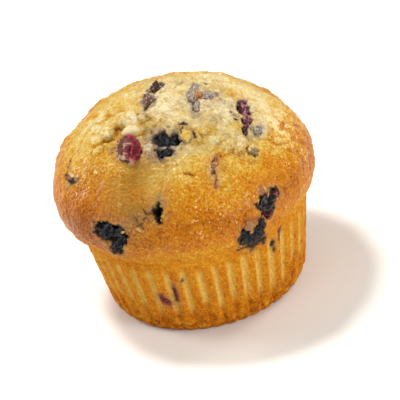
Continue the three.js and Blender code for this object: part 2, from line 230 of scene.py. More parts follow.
def flute_relief(bearing, height):
    away = nearest_groove(bearing)[1]
    press = (1 - smooth_step(0, 0.32, away)) * 0.8 * FLUTE_DEPTH
    swell = 0.16 * np.sin(np.clip(away * 2, 0, 1) * math.pi / 2)
    fade = smooth_step(0, 4, CREASE_HEIGHT - height) * (0.5 + 0.5 * smooth_step(0, 5, height))
    return (swell - press) * fade


# ------------------------ crumb: mesh
# The points lie on rings from the foot up to the summit, where bands of triangles join them. The rings of
# the side are closer set with points along the edges of the grooves.

CROWN_SPACING = {"above": 0.37, "below": 0.46}
CUP_ROW_HEIGHT = 0.6
CUP_TOP = CREASE_HEIGHT - 0.4
FOOT_RING_STEP = 1.3
FILLET_TURNS = (20, 40, 60, 80)
STATIONS = [  # of the points of a side ring, as shares of the way from one groove to the next
    0, 0.045, 0.09, 0.135, 0.18, 0.24, 0.33, 0.44, 0.56, 0.67, 0.76, 0.82, 0.865, 0.91, 0.955,
]


def cup_bearings():
    following = np.append(groove_bearings[1:], groove_bearings[0] + 360)
    spans = (following - groove_bearings)[:, None] * np.array(STATIONS)
    return np.sort((groove_bearings[:, None] + spans).ravel() % 360)


def ring_bearings(radius, spacing, number):
    count = max(8, round(2 * math.pi * radius / spacing))
    return (np.arange(count) + 0.5 * (number % 2)) * 360 / count


def foot_rings():
    """The flat foot and its rounded edge, from the middle outwards."""
    flat = FOOT_RADIUS - FOOT_FILLET
    steps = round(flat / FOOT_RING_STEP)
    for number in range(1, steps + 1):
        radius = flat * number / steps
        yield ring_bearings(radius, FOOT_RING_STEP, number), radius, 0
    for turn in FILLET_TURNS:
        radius = FOOT_RADIUS - FOOT_FILLET * (1 - math.sin(turn * DEGREE))
        yield cup_bearings(), radius, FOOT_FILLET * (1 - math.cos(turn * DEGREE))


def side_rings():
    rows = round((CUP_TOP - FOOT_FILLET) / CUP_ROW_HEIGHT)
    for height in np.linspace(FOOT_FILLET, CUP_TOP, rows):
        yield cup_bearings(), FOOT_RADIUS + CUP_SLOPE * height, height


def crown_climbs(low, high, spacing):
    """Climbs from low to high, evenly spaced along the crown's outline."""
    fine = np.linspace(low, high, 2000)
    track = crown_point(270, fine)
    walked = np.append(0, np.cumsum(np.linalg.norm(np.diff(track, axis=0), axis=1)))
    steps = round(walked[-1] / spacing)
    return np.interp(np.linspace(0, walked[-1], steps + 1)[:-1], walked, fine)


def band(low, high, low_start, high_start):
    """Triangles between two rings of bearings, always stepping on the ring that lags behind."""
    faces = []
    low_next, high_next = (np.append(b[1:], b[0] + 360) for b in (low, high))
    i = j = 0
    while i < len(low) or j < len(high):
        a, b = low_start + i % len(low), high_start + j % len(high)
        if j >= len(high) or (i < len(low) and low_next[i] <= high_next[j]):
            i += 1
            faces.append((a, low_start + i % len(low), b))
        else:
            j += 1
            faces.append((a, high_start + j % len(high), b))
    return faces


def lay_rings():
    """All points, their bearings, the faces, and how many points come before the crown."""
    rings, bearings = [], []
    for bearing, radius, height in itertools.chain(foot_rings(), side_rings()):
        if height > 0:
            radius = radius + flute_relief(bearing, np.full(len(bearing), height))
        t = bearing * DEGREE
        rings.append(np.stack([radius * np.cos(t), radius * np.sin(t), np.full(len(t), height)], 1))
        bearings.append(bearing)
    cup_points = sum(map(len, rings))
    below = crown_climbs(-90, 0, CROWN_SPACING["below"])
    above = crown_climbs(0, 90, CROWN_SPACING["above"])
    for number, climb in enumerate(np.append(below, above)):
        if climb > 0:
            radius = CROWN_RADIUS * math.cos(climb * DEGREE) ** REACH_POWER
        else:
            radius = math.hypot(*crown_point(270, climb)[:2])
        bearing = ring_bearings(radius, CROWN_SPACING["above" if climb >= 0 else "below"], number)
        rings.append(crust_point(bearing, np.full(len(bearing), climb)))
        bearings.append(bearing)
    starts = np.append(0, np.cumsum([len(r) for r in rings]))
    faces = []
    for k in range(len(rings) - 1):
        faces += band(bearings[k], bearings[k + 1], starts[k], starts[k + 1])
    points = np.concatenate([*rings, [[0, 0, 0]], crust_point(0, 90)])
    foot, summit = len(points) - 2, len(points) - 1
    first, last, top = len(rings[0]), len(rings[-1]), starts[-2]
    faces += [(foot, (i + 1) % first, i) for i in range(first)]
    faces += [(top + i, top + (i + 1) % last, summit) for i in range(last)]
    return points, np.concatenate([*bearings, [0, 0]]), np.array(faces), cup_points


def point_normals(points, faces):
    a, b, c = (points[faces[:, k]] for k in range(3))
    flat = np.cross(b - a, c - a)
    normals = np.zeros_like(points)
    for k in range(3):
        np.add.at(normals, faces[:, k], flat)
    return normals / np.maximum(np.linalg.norm(normals, axis=1, keepdims=True), 1e-9)


points, bearings, faces, cup_points = lay_rings()
on_crown = np.arange(len(points)) >= cup_points
on_crown[-2] = False  # the middle of the foot
normals = point_normals(points, faces)
height = points[:, 2].copy()
outside_tear = smooth_step(0.86, 1.1, tear_edge(points) + 0.06 * lumps(points / 1.8))
torn = on_crown * smooth_step(*TOP_FADE, height) * (1 - outside_tear)
groove = np.where(on_crown, 0, groove_share(bearings, height))
furrow = on_crown * furrow_share(points)

# ------------------------ crumb: sockets
# Each berry sits in a ragged hole in the crust, with a low lip round it. Its juice has soaked into the
# crumb beside it, and shreds of its skin cling there.

# "cover" is how far the crumb has closed over a berry, "shreds" how far bits of its skin cling beside it
# and "pale" their greyness, "stain" how strongly it has coloured the crumb and "red" the share of crimson
# in that, "depth" how deep the socket is and "sink" how far the berry has sagged in it. "flesh" lists the
# bearing, climb and radius of the places where the skin has split; "slot" is not used.
BERRY_USUAL = dict(
    skin="navy", slot="skin", cover=0, shreds=0.35, stain=0.6, red=0.2, pale=0, depth=2.1, sink=0, flesh=[]
)
BERRY_KINDS = dict(
    crimson=dict(
        skin="crimson", slot="flesh", cover=0.3, shreds=-1.5, stain=0.4, red=0.9, depth=0.9, sink=-0.4,
        flesh=[(236, 60.5, 2.2), (238.5, 56, 2.8), (231, 62.5, 2.2), (225, 63, 1.6)],
    ),
    burst=dict(stain=1.8, red=0.1),
    summit=dict(skin="brown", shreds=0.6, pale=0.35),
    summit_low=dict(skin="brown", slot="bloom", shreds=0.5, red=0.6, pale=0.6, flesh=[(190, 82, 1.6)]),
    dusty=dict(
        skin="dusty", slot="bloom", cover=0.3, shreds=0.15, stain=0.5, red=0.15, pale=1,
        flesh=[(333, 76.5, 1.5)],
    ),
    plum=dict(
        skin="plum", slot="flesh", cover=0.2, shreds=-0.4, stain=0.5, red=0.6,
        flesh=[(324, 52, 1.1), (341, 56.5, 1.2)],
    ),
    grey=dict(skin="dusty", slot="bloom", cover=0.35, shreds=0.1, stain=0.3, pale=1),
    green=dict(skin="olive", slot="bloom", shreds=-1.5, stain=0.15, red=0, depth=1.2),
    left_slit=dict(skin="brown", slot="bloom", cover=0.1, shreds=0.2, stain=0.3, red=0.1, pale=0.6),
    pit=dict(red=0),
    left=dict(shreds=0.3, stain=0.9, red=0.1),
    right=dict(skin="wine", shreds=0.5, stain=0.8, red=0.6, flesh=[(307, 14, 1.3), (300.5, 2.5, 1.2)]),
    right_low=dict(shreds=0.7, stain=0.8, red=0.3),
    slit=dict(skin="russet", slot="flesh", cover=0.55, shreds=-1.5, red=0.9, flesh=[(285, 39.5, 1.5)]),
    back_high=dict(skin="plum", shreds=-0.6, red=0.4, sink=0.8, flesh=[(84, 45, 1.6)]),
    back_upper=dict(skin="crimson", shreds=0, red=0.4, sink=0.5, flesh=[(130, 36, 2.4)]),
    back_middle=dict(shreds=0.8, stain=1, flesh=[(61, 30, 1.2)]),
    back_left=dict(shreds=0.6, red=0.3, flesh=[(148, 12, 1.3)]),
    back_right=dict(cover=0.1, shreds=0.5, red=0.4),
    back_low=dict(cover=0.1),
)
BERRIES = {"berry_" + name: BERRY_USUAL | own for name, own in BERRY_KINDS.items()}
PROBE_DEPTHS = (0, 0.7, 1.4, 2.1)  # at which each berry is felt for under the crust
PROBE_REACH = 5
FAR = 9.0
BERRY_VOXEL = 0.24
RIM_AT, RIM_HALF_WIDTH = 0.25, 0.15  # from the edge of a socket
LIP_AT, LIP_WIDTH, LIP_HEIGHT = 0.75, 0.6, 0.28


def remeshed(name, voxel):
    """A node's shape with an even fine mesh: its points in mm and its triangles."""
    piece = bpy.data.objects.new("tmp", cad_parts[name].data.copy())
    bpy.context.scene.collection.objects.link(piece)
    change = piece.modifiers.new("even", "REMESH")
    change.mode, change.voxel_size = "VOXEL", voxel * MM
    smooth = piece.modifiers.new("smooth", "SMOOTH")
    smooth.factor, smooth.iterations = 0.5, 3
    piece.modifiers.new("triangles", "TRIANGULATE")
    done = bpy.data.meshes.new_from_object(piece.evaluated_get(bpy.context.evaluated_depsgraph_get()))
    at = np.zeros(len(done.vertices) * 3, np.float32)
    done.vertices.foreach_get("co", at)
    triangles = np.zeros(len(done.polygons) * 3, np.int32)
    done.polygons.foreach_get("vertices", triangles)
    bpy.data.objects.remove(piece)
    bpy.data.meshes.remove(done)
    return at.reshape(-1, 3).astype(float) / MM, triangles.reshape(-1, 3)


berry_shapes = {name: remeshed(name, BERRY_VOXEL) for name in BERRIES}


def berry_distance(name):
    """How far each point of the crust lies outside a berry's outline; negative inside it."""
    at, triangles = berry_shapes[name]
    tree = BVHTree.FromPolygons(at.tolist(), triangles.tolist())
    distance = np.full(len(points), FAR)
    near = np.all((points > at.min(0) - PROBE_REACH) & (points < at.max(0) + PROBE_REACH), axis=1)
    for index in np.flatnonzero(near):
        for depth in PROBE_DEPTHS:
            probe = Vector(points[index] - normals[index] * depth)
            surface, out, _, away = tree.find_nearest(probe)
            signed = away if (probe - surface).dot(out) > 0 else -away
            distance[index] = min(distance[index], signed)
    return distance


def laid_over(most, best, share, value):
    """The largest share so far and the value that belongs to it, once one more share has been laid on."""
    return np.maximum(most, share), np.where(share > most, value, best)


ragged = 0.7 * fractal(points, 1.9, 3) + 0.5 * fractal(points + 40, 0.8, 2)
shredded = 1.4 * fractal(points * (1, 1, 0.7) + 80, 1.3, 3) + 0.3 * fractal(points, 0.6, 2)
cover_noise = 0.5 + 0.5 * lumps(points / 1.7)
socket, socket_depth, lip, shreds, shreds_pale, stain, red_stain = np.zeros((7, len(points)))
on_rim = np.zeros(len(points), bool)
for name, berry in BERRIES.items():
    distance = berry_distance(name)
    edge_distance = distance - 0.05 + ragged + berry["cover"] * (0.5 + cover_noise)
    on_rim |= np.abs(edge_distance - RIM_AT) < RIM_HALF_WIDTH
    share = 1 - smooth_step(-0.3, 0.3, edge_distance)
    socket = np.maximum(socket, share)
    socket_depth = np.maximum(socket_depth, share * berry["depth"])
    lip = np.maximum(lip, bell(edge_distance, LIP_AT, LIP_WIDTH))
    own_shreds = 1 - smooth_step(-0.25, 0.35, distance - berry["shreds"] + shredded)
    shreds, shreds_pale = laid_over(shreds, shreds_pale, own_shreds, berry["pale"])
    spread = np.exp(-np.clip(distance, 0, None) / (0.7 + 0.9 * cover_noise)) * berry["stain"]
    stain, red_stain = laid_over(stain, red_stain, spread, berry["red"])

# ------------------------ crumb: small relief
# Knobs of batter have set beside the tear, thin creases and cracks have opened in the crust, and flakes
# of berry skin lie flush in it. Each is given by its place, its length and width, and its turn from level.

KNOBS = [  # bearing, climb, length, width, turn, lift
    (212.5, 70.2, 8.8, 4.8, 55, 1.7),  # the large pale knob
    (225.5, 65.8, 6.6, 3.8, 46, 1.2),  # hood over the red berry
    (201, 65.4, 4.8, 4, 60, 1.2), (203, 60.2, 5, 4.2, 68, 1.2), (199, 55, 4.8, 4, 69, 0.9),  # lesser knobs
    (188, 60, 5, 4.2, 10, 0.6), (206, 51.5, 3.6, 2.8, 66, 0.5), (182, 67, 5.4, 4, -20, 0.6),
    (299, 48.5, 5.2, 3.2, 15, 0.5), (306, 45, 4.6, 2.6, 12, 0.5),  # flaps under the tear
    (312, 47, 3.8, 2.8, 30, 0.4),
    (324, 42.5, 4.4, 2.2, -25, 0.5),  # bright ridge at the right of the tear
    (328, 34.5, 4.6, 2, -35, 0.5), (332, 26.5, 3.8, 1.8, -30, 0.4), (318, 60, 5.6, 3.8, 20, 0.5),
    (343, 65, 5, 3.4, 60, 0.6), (270, 80, 6.4, 4, 30, 0.5), (60, 60, 5, 3.4, 20, 0.5),
    (110, 40, 4.2, 3, 50, 0.5), (160, 28, 4.6, 3, -20, 0.45), (30, 30, 4.4, 2.8, 10, 0.4),
]
ISLANDS = [  # bearing, climb, length, width, turn, lift, browning and juice of crumb that stayed on a berry
    (261.5, 59, 5, 1.5, 5, 0.5, 0.1, 1.2),  # bridge over the burst berry
    (265, 66.2, 2.4, 2, 80, 0.3, 0.2, 0.6),
    (277.5, 61.4, 4.2, 3, 80, 1.1, 0.34, 0),  # chunk beside it
    (245.5, 59, 2.8, 2.6, 60, 0.2, 0.2, 0.55),  # between the red and the burst berry
    (346, 54.5, 2.6, 1.2, -70, 0.3, 0.15, 0.2),  # beside the plum-coloured berry
    (330, 45.2, 3.2, 1.3, -50, 0.3, 0.2, 0.2),  # over the two small berries
    (325.5, 47, 2.8, 1.3, 20, 0.4, 0.2, 0.2), (311, 41.2, 3.2, 1.4, 20, 0.4, 0.34, 0.1),
    (200, 33, 3.4, 1.5, 10, 0.4, 0.3, 0.15),  # over the small berry at the left
    (250.8, 26.6, 2.6, 1.2, 30, 0.1, 0.4, 0.9),  # edge of the pit
    (245.5, 22.5, 3.2, 1, -40, 0.2, 0.6, 0.8),
    (238, 17.5, 5, 2.4, -15, 0.2, 0.6, 0.55),  # along the large berry at the lower left
    (243.5, 14.2, 3, 0.8, -25, 0.2, 0.35, 0.3),
    (304, 18.5, 2, 0.9, 60, 0.2, 0.4, 0.7),  # between the skin and the flesh of the right berry
    (291, -0.5, 3.4, 2.8, 60, 0.6, 0.65, 0.95),  # on the lowest berry
    (58, 33, 3.4, 1.8, 20, 0.5, 0.5, 0.25), (133, 38, 4.4, 1.8, -40, 0.4, 0.5, 0.1),
]
CREASES = [  # bearing and climb of both ends, width, depth
    ((269.5, 43.8), (272, 42.8), 0.5, 0.7), ((272, 42.8), (274.5, 41), 0.35, 0.5),
    ((186.5, 43), (187.5, 37), 0.5, 0.35), ((187.5, 37), (192, 32), 0.6, 0.7),
    ((192, 32), (195.5, 28.6), 0.5, 0.7), ((285, 37.5), (282, 31.5), 0.4, 0.5),
    ((286, 66), (289, 58), 0.45, 0.6), ((246, 17.5), (242, 15), 0.5, 0.5),
    ((249.5, 24), (246.5, 20), 0.45, 0.5), ((120, 30), (129, 24), 0.5, 0.5),
    ((40, 48), (47, 42), 0.5, 0.4),
]
KNOBBLY = [  # bearing, climb, spread and share of the places where the crust is lumpy
    (178, 68, 6, 0.5), (150, 76, 6, 0.6), (335, 40, 6, 0.5), (110, 50, 7, 0.6), (60, 40, 7, 0.5),
    (20, 25, 7, 0.4), (150, 25, 8, 0.5),
]
OLIVE_PATCHES = [  # bearing, climb, spread and share of the places that took least colour
    (255, 52, 4.5, 0.6), (250, 43, 4.3, 0.95), (251, 34.5, 3.4, 0.8), (259, 46, 3.4, 0.8),
    (239.5, 44, 4.6, 0.6), (231, 38, 4.8, 0.5), (236, 30, 4.8, 0.6), (242, 24, 4.6, 0.7),
    (242, 49, 3.4, 0.6), (267, 52, 3.2, 0.7), (256, 40, 2.6, 0.6), (253, 29, 2, 0.7),
    (288, 74, 3.4, 0.1), (283, 56, 3, 0.5), (226, 75, 3, 0.4), (100, 35, 5, 0.5), (40, 30, 5, 0.4),
]
JUICE_PATCHES = [  # bearing, climb, spread, strength and red share
    (252, 65, 3.2, 0.8, 0.2), (247, 62.5, 2.4, 1, 0.3), (249, 58, 3.6, 1, 0.3),
    (264, 55.5, 2.2, 0.5, 0.1), (268, 60, 3, 0.6, 0.1), (219, 56, 1.8, 0.5, 0.3),
    # the patch at bearing 254.5, climb 29.8 is painted shade above the pit
    (254.5, 29.8, 2.2, 0.7, 0), (241, 17, 2.6, 0.35, 0), (305, 17.5, 1.8, 0.7, 0.5),
    (284, 35, 1.3, 0.8, 0.8), (239, 55.5, 1.6, 0.9, 1), (282.5, 32.4, 1, 0.7, 0.8),
    (207, 81.5, 2, 0.85, 0.6), (217, 78, 1.5, 0.6, 0.6), (281, 68, 1.6, 0.6, 0.3),
    (246, 58.5, 2.2, 0.6, 0.3), (258, 55.5, 2.2, 0.7, 0.15), (270, 66, 1.8, 0.5, 0.1),
    (332, 68, 2.4, 0.6, 0.3), (303, 71.5, 1.8, 0.6, 0), (325, 58, 1.8, 0.5, 0.2),
    (321, 48, 1.6, 0.45, 0.2), (200, 29, 1.8, 0.4, 0), (237, 14.5, 1.8, 0.6, 0.1),
    (302, 18, 1.6, 0.9, 0.5), (291, 1, 1.6, 0.6, 0.2), (244, 21.5, 2, 0.3, 0), (88, 49, 2.4, 0.6, 0.3),
]
DEEP_AND_SHADE_PATCHES = [  # bearing, climb, spread and share of painted shade: darker crumb in hollows, below berries, by creases
    (239.5, 44, 5.2, 0.95), (231, 38, 5, 0.45), (235, 30, 5, 0.6), (213, 39, 5, 0.4),
    (230, 24, 3.6, 0.4), (243, 24.5, 5, 1), (190, 34.5, 1.4, 0.9), (194.5, 30, 1.2, 0.9),
    (233, 50, 1.7, 0.7), (272.3, 42.6, 0.9, 0.8), (239, 16, 3.2, 0.6), (254, 31, 2.6, 0.5),
    (217, 55.5, 1.9, 0.8), (228, 52.5, 2, 0.7), (210, 59, 2.4, 0.3), (170, 64, 2.6, 0.3),
    (244, 69, 3.4, 0.8), (238, 73, 2.4, 0.5), (257, 72, 2.4, 0.5), (277, 74, 3.4, 0.1),
    (301, 75, 2.6, 0.35), (300, 63, 4.8, 0.6), (306, 56, 3.4, 0.45), (291, 57, 3, 0.4),
    (303, 50, 3, 0.4), (231, 76, 2.2, 0.5), (200, 31, 1.6, 0.5), (291, 40, 1.2, 0.6),
    (281, 67, 1.8, 0.7), (100, 62, 4, 0.4), (60, 72, 4, 0.4), (100, 30, 5, 0.4), (30, 40, 4, 0.3),
]
FLOUR_PATCHES = [  # bearing, climb, spread and share of the whitest crumb
    (262, 85, 4.5, 1), (243, 81.5, 3.6, 1), (278, 80, 3.2, 0.8), (330, 62, 4.4, 1),
    (316, 66, 3.4, 0.7), (343, 59, 3, 0.7), (350, 50, 3, 0.25), (308, 46, 3, 0.5),
    (246, 59, 2.4, 1), (327, 60, 2.4, 1), (335, 75, 4, 1), (290, 76, 2.4, 0.4),
    (327, 47, 2.6, 0.7), (213.5, 71.5, 2, 0.5), (100, 72, 5, 0.7), (40, 66, 5, 0.7),
]
PAINTED_GLINT_PATCHES = [  # bearing, climb, spread and share of painted glints: highlights painted into the crust's colour
    (276, 20, 9, 0.7), (297, 16, 5.5, 0.6), (262, 34, 6, 0.4), (335, 34, 8, 1.1),
    (350, 38, 9, 1.2), (335, 18, 8, 0.8), (5, 22, 7, 0.9), (205, 38, 9, 1), (215, 14, 7, 0.4),
    (150, 30, 9, 0.8), (80, 24, 9, 0.8), (20, 24, 9, 0.8),
]
PUFFS = [(4.6, 1.6), (2.3, 0.55), (1.1, 0.18)]  # sizes and heights of the puffs of torn crumb
CREVICE_DEPTH = 0.65  # of the crevices between the puffs
KNOB_ROUNDNESS = 0.7
GAP_AT, GAP_WIDTH = 1.15, 0.22  # of the gap round a knob, where its rim is at 1
HOLLOW_REACH = 14  # points of the mesh over which hollows and rises are told apart
CROWN_FLAKES = [  # bearing, climb, length, width, turn, red share, depth
    (20, 71, 1.8, 1.1, 30, 0, 0.15), (280, 69.5, 2.6, 1.5, -35, 0.1, 0.15),
    (276, 64.5, 2.8, 0.5, 60, 0.1, 0.2), (283.8, 60.4, 2.8, 0.8, 80, 0, 0.3),
    (204, 83.5, 3, 1.7, 145, 0.2, 0.1), (213, 79.8, 2.6, 1.2, 150, 0.2, 0.1),
    (252.4, 25.8, 2, 1.6, 0, 0, 0.3), (247, 25, 1.8, 0.45, -50, 0, 0.3),  # corner of the pit
    (242.5, 20.5, 1.8, 0.4, -45, 0.1, 0.3), (246, 15.2, 1.6, 0.4, -35, 0, 0.3),
    (192.5, 29.5, 2.2, 0.6, 75, 0, 0.4), (205, 32.2, 2.4, 0.6, 60, 0, 0.4),
    (323.2, 56.6, 2.2, 1.5, 10, 0, 0.2), (296, -60, 3.4, 2.6, 0, 0, 0.1),
    (291, -82, 4, 2.6, 0, 0, 0.05), (297.5, -82, 4, 2.6, 0, 0, 0.05),
    (329, 60.5, 1, 0.7, 20, 0.3, 0.1),
    (115, 83, 6, 1.3, 48, 0.15, 0.2),  # sliver near the summit
]
SIDE_FLAKES = [  # bearing, height, length, width, turn, red share, depth
    (250.5, 14.6, 6.6, 1.7, 88, 0.45, 0.15), (243.5, 12, 4.2, 2.8, -50, 0.8, 0.15),
    (256, 18.5, 1.3, 0.8, 40, 0, 0.05), (311.5, 22, 4.6, 1.5, 88, 0.8, 0.15),
    (306, 20.8, 2.4, 1.2, 75, 0, 0.15), (306.5, 18.6, 1.8, 1, 75, 0, 0.15),
    (294.5, 24.2, 3.4, 3, 80, 0, 0.1), (299.5, 24.4, 3.6, 2.6, -20, 0, 0.1),
    (288, 25.2, 2.4, 1.4, 10, 0, 0.1), (70, 16, 3.6, 1.2, 80, 0.3, 0.15),
    (140, 11, 2.6, 1.3, 60, 0.9, 0.15), (28, 18, 2, 1.1, 30, 0.1, 0.15),
]


def crown_place(bearing, climb):
    return crust_point(bearing, climb)[0]


def side_place(bearing, height):
    radius = FOOT_RADIUS + CUP_SLOPE * height
    return np.array([radius * math.cos(bearing * DEGREE), radius * math.sin(bearing * DEGREE), height])


def directions(middle, out, turn):
    """The long and the wide direction of an oval that lies on the crust, when it is turned from level."""
    east = np.array([-middle[1], middle[0], 0]) / math.hypot(*middle[:2])
    up = np.cross(out, east)
    up /= np.linalg.norm(up)
    long = np.cross(up, out) * math.cos(turn * DEGREE) + up * math.sin(turn * DEGREE)
    return long, np.cross(out, long)


def oval_distance(middle, length, width, turn):
    """How far each point of the crust lies from a place: 1 on the rim of the oval."""
    offset = points - middle
    out = normals[np.linalg.norm(offset, axis=1).argmin()]
    long, wide = directions(middle, out, turn)
    flat = np.hypot(offset @ long / (length / 2), offset @ wide / (width / 2))
    return flat + np.abs(offset @ out) / 6


def crease_share(start, end, width):
    a, b = crown_place(*start), crown_place(*end)
    line = b - a
    along = np.clip((points - a) @ line / (line @ line), 0, 1)
    away = np.linalg.norm(points - a - along[:, None] * line, axis=1) + 0.25 * ragged
    return 1 - smooth_step(0, 1, np.abs(away) / width)


large_clods, middle_clods = clods(points, 3.8), clods(points, 1.8)
knob_waver = 0.32 * fractal(points, 2.2, 3)
knob = np.zeros(len(points))
for bearing, climb, *oval, lift in KNOBS:  # highest in the middle, with a gap round each
    distance = oval_distance(crown_place(bearing, climb), *oval) + knob_waver
    own = lift * np.clip(1 - distance**2, 0, 1) ** KNOB_ROUNDNESS * (0.88 + 0.3 * middle_clods)
    gap = (0.1 + 0.45 * lift * cover_noise) * bell(distance, GAP_AT, GAP_WIDTH)
    knob = np.where(own > 0, np.maximum(knob, own), np.where(knob > 0, knob, np.minimum(knob, -gap)))

crease, crease_depth = np.zeros((2, len(points)))
for start, end, width, depth in CREASES:
    share = crease_share(start, end, width)
    crease = np.maximum(crease, share)
    crease_depth = np.maximum(crease_depth, share * depth)

flake, flake_red, flake_depth = np.zeros((3, len(points)))
flakes = [(crown_place(*row[:2]), *row[2:]) for row in CROWN_FLAKES]
flakes += [(side_place(*row[:2]), *row[2:]) for row in SIDE_FLAKES]
for *oval, red, depth in flakes:
    distance = oval_distance(*oval)
    share = 1 - smooth_step(0.7, 1.15, distance + 0.65 * ragged)
    halo = 0.6 * (1 - smooth_step(0.8, 2.2, distance + 0.6 * ragged))
    stain, red_stain = laid_over(stain, red_stain, halo, 0.3 + 0.5 * red)
    flake, flake_red = laid_over(flake, flake_red, share, red)
    flake_depth = np.maximum(flake_depth, share * depth)

island, island_lift, island_bake, island_juice = np.zeros((4, len(points)))
for bearing, climb, *oval, lift, browned, juice in ISLANDS:
    distance = oval_distance(crown_place(bearing, climb), *oval)
    share = 1 - smooth_step(0.75, 1.1, distance + 0.5 * ragged)
    island_lift = np.maximum(island_lift, lift * share)
    island_bake = laid_over(island, island_bake, share, browned)[1]
    island, island_juice = laid_over(island, island_juice, share, juice)
socket, socket_depth, shreds = (values * (1 - island) for values in (socket, socket_depth, shreds))


def patch(at, bearing, climb, spread, waver=0):
    """1 at a place on the crown, fading out round it."""
    away = np.linalg.norm(at - crown_place(bearing, climb), axis=1) * (1 + waver)
    return bell(away, 0, spread)


def patches(places):
    """The largest share that any of the patches gives each point."""
    share = np.zeros(len(points))
    for bearing, climb, spread, most in places:
        share = np.maximum(share, most * patch(points, bearing, climb, spread, 0.5 * ragged))
    return share


olive, deep_and_shade, flour, painted_glint = map(patches, (OLIVE_PATCHES, DEEP_AND_SHADE_PATCHES, FLOUR_PATCHES, PAINTED_GLINT_PATCHES))
for *place, red in JUICE_PATCHES:
    stain, red_stain = laid_over(stain, red_stain, patches([place]), red)
stain = stain * (1 - island) + island_juice * island

rounded = (share * np.abs(fractal(points + 9 * size, size, 1)) for size, share in PUFFS)
puffs = sum(rounded, -CREVICE_DEPTH)
craggy = 0.8 + 0.7 * fractal(points, 6, 2)
torn_relief = craggy * puffs + 0.05 * (middle_clods - 0.5) + 0.34 * fractal(points, 1.2, 4)
torn_relief += 0.6 * fractal(points, 5, 3)
knobbly = np.zeros(len(points))
for bearing, climb, spread, share in KNOBBLY:
    away = np.linalg.norm(points - crown_place(bearing, climb), axis=1)
    knobbly = np.maximum(knobbly, share * (1 - smooth_step(0.6, 1.3, away / spread + 0.2 * craggy)))
pebbles = clods(points, 1.15)
crust_relief = 0.25 * fractal(points, 3.2, 3) + 0.17 * (pebbles - 0.5) + 0.13 * fractal(points, 0.75, 2)
crust_relief *= 1 - 0.5 * furrow
crust_relief += knobbly * (0.75 * (large_clods - 0.5) + 0.3 * (middle_clods - 0.5))
side_relief = (0.1 * fractal(points, 1.8, 3) + 0.05 * (pebbles - 0.5)) * (1 - 0.4 * groove)
fine = np.where(on_crown, crust_relief * (1 - torn) + torn_relief * torn, side_relief)
fine *= 1 - 0.55 * np.clip(knob, 0, 1)
fine += knob + island_lift + LIP_HEIGHT * lip * (1 - socket)
fine -= crease_depth + flake_depth + socket_depth
fine *= smooth_step(0, 1, height)


def spread_out(values, steps):
    """Values evened out over the mesh, by about one more point with each step."""
    ends = np.concatenate([faces[:, [0, 1]], faces[:, [1, 2]], faces[:, [2, 0]]])
    count = np.bincount(ends[:, 0], minlength=len(values))
    for _ in range(steps):
        values = 0.5 * values + 0.5 * np.bincount(ends[:, 0], values[ends[:, 1]], len(values)) / count
    return values


# Hollows in the relief. They are painted darker in the browning (painted shade), and in the torn crumb the
# valleys are painted grey-olive (painted shade).
hollow = np.clip(spread_out(fine, HOLLOW_REACH) - fine, -0.7, 0.9) * (1 - socket)
valley_shade = 0.25 + 1.6 * hollow + 0.9 * fractal(points + 60, 3.4, 4)
olive = np.maximum(olive, 0.95 * torn * np.clip(valley_shade, 0, 1) * (1 - 0.8 * flour))

smooth_points = points.copy()
points = points + normals * fine[:, None]
points[:, 2] = np.maximum(points[:, 2], 0)

# ------------------------ crumb: browning
# The crumb of the torn top stayed pale, while the shoulders and the foot took most heat. The browning value
# is 0 on pale crumb and 1 on dark brown crust. It also carries painted shade in hollows, along creases and
# round the knobs, and painted light on the knobs' tops and at the right edge of the crown.

BAKE_HEIGHTS = [0, 3, 9, 20, 25, 29, 33, 37, 41, 45, 49, 54]
BAKE_LEVELS = [0.91, 0.82, 0.72, 0.69, 0.67, 0.66, 0.77, 0.8, 0.69, 0.58, 0.47, 0.36]
BAKE_AND_SHADING_PATCHES = [  # bearing, climb, spread, change
    (212, 10, 9, 0.21),  # lower left
    (239.5, 45, 5.5, 0.1), (233, 36, 7, 0.08), (241, 25, 5.5, 0.1),  # below the red berry: painted shade in the furrow's hollow
    (330, 22, 9, -0.03), (303, 25, 7, -0.05), (333, 31, 5, 0.06), (5, 22, 8, -0.1),  # right cheek; the last lightens its edge: a painted rim light
    (161, 62, 4, -0.12), (290, 24, 7, -0.07), (297.5, 30, 2.2, 0.22), (291, 46, 2.2, 0.2),
    (276, 38, 8, 0.03),  # top of the front lobe
    (192, 46, 9, -0.12), (214, 38, 6, 0.08),  # left cheek
    (176, 56, 5, -0.14), (167, 69, 3.2, 0.16), (172, 63, 2.4, 0.08),  # hollow behind the knobs; the darker patches in it are painted shade
    (208, 50, 4, 0.08), (150, 74, 5, -0.2),
    (219, 72, 2.4, -0.3), (208, 69.5, 2.4, 0.2), (202, 60, 4, 0.02),  # knobs
    (225, 66, 2.4, -0.3),  # hood
    (10, 50, 6, -0.34), (350, 48, 6, -0.34), (330, 44, 5, -0.28),  # pale band at the right of the tear
    (324, 43, 3, -0.2), (330, 30, 3.5, -0.2), (300, 47, 6, -0.1), (263, 50, 6, -0.12), (250, 44, 6, -0.06),
    (30, 74, 8, -0.2), (60, 30, 10, 0.06), (120, 14, 10, 0.08), (160, 46, 9, -0.08),
]

MOTTLED_PATCHES = [  # bearing, climb, spread and share of the crust that browned unevenly
    (344, 39, 8, 1.6), (332, 34, 5, 0.6), (172, 58, 6, 1.1), (120, 40, 9, 0.5), (40, 35, 9, 0.5),
]

